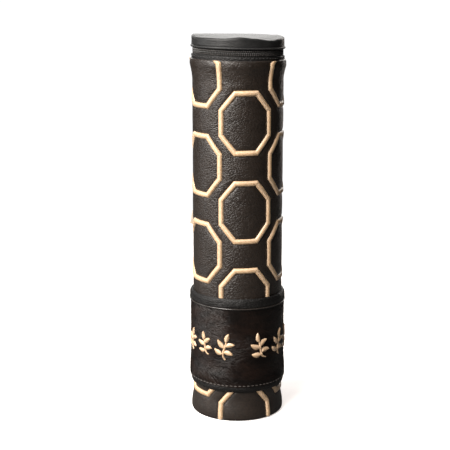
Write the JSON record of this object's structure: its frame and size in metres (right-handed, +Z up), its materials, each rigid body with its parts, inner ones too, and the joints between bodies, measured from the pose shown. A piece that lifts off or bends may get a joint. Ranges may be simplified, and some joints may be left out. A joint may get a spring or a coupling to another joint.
{
  "type": "scroll case",
  "caption": "Standing cylindrical leather scroll case with gold octagon embroidery, a hair-on-hide foot band and a soft lid that zips open and folds back on a leather hinge.",
  "frame": {"origin": "centre of the flat leather sole that the case stands on", "axes": "+Z is up along the tube's axis, -Y is the front of the case as pictured, +Y is the side with the lid's hinge, +X is to the right seen from the front"},
  "size_m": [0.076, 0.076, 0.299],
  "materials": {
    "leather": "black-brown pebble-grain leather with a low sheen",
    "binding_leather": "smooth black strip leather, folded and stitched",
    "lid_leather": "soft black leather with a semi-gloss finish",
    "hide": "short dark-brown hair on hide, brushed sideways, with a streaky sheen",
    "embroidery_thread": "padded satin stitch in glossy pale-gold rayon thread",
    "board": "matt grey-brown rigid board",
    "lining": "short-pile wine-red velvet",
    "zip_tape": "black woven polyester tape",
    "zip_nylon": "black nylon coil with a satin sheen",
    "zip_metal": "gunmetal plated die-cast zip metal",
    "ribbon": "pale woven ribbon, plain"
  },
  "bodies": {
    "case": {"base_sole": "leather", "base_board": "board", "base_pad": "lining", "inner_tube": "board", "tube_lining": "lining", "lower_panel": "leather", "upper_panel": "leather", "seam_tag": "ribbon", "hide_band": "hide", "band_top_binding": "binding_leather", "band_foot_binding": "binding_leather", "collar": "binding_leather", "lower_zip_tape": "zip_tape", "lower_zip_coil": "zip_nylon", "zip_bottom_stop": "zip_metal", "lower_top_stop": "zip_metal", "hinge_lower_leaf": "binding_leather"},
    "lid": {"lid_flange": "lid_leather", "lid_wall": "lid_leather", "lid_top": "lid_leather", "lid_board": "board", "lid_lining": "lining", "upper_zip_tape": "zip_tape", "upper_zip_coil": "zip_nylon", "upper_top_stop": "zip_metal", "hinge_upper_leaf": "lid_leather"},
    "slider": {"zip_slider": "zip_metal"},
    "pull": {"zip_pull": "zip_metal"}
  },
  "joints": [
    {"name": "lid_hinge", "type": "hinge", "parent": "case", "child": "lid", "pos_m": [0, 0.0373, 0.2876], "axis": [-1, 0, 0], "range_deg": [0, 170]},
    {"name": "slider_travel", "type": "hinge", "parent": "case", "child": "slider", "pos_m": [0, 0, 0.2871], "axis": [0, 0, -1], "range_deg": [0, 290]},
    {"name": "pull_swing", "type": "hinge", "parent": "slider", "child": "pull", "pos_m": [0.02254, 0.03219, 0.2871], "axis": [0.8192, -0.5736, 0], "range_deg": [-7, 165]}
  ]
}
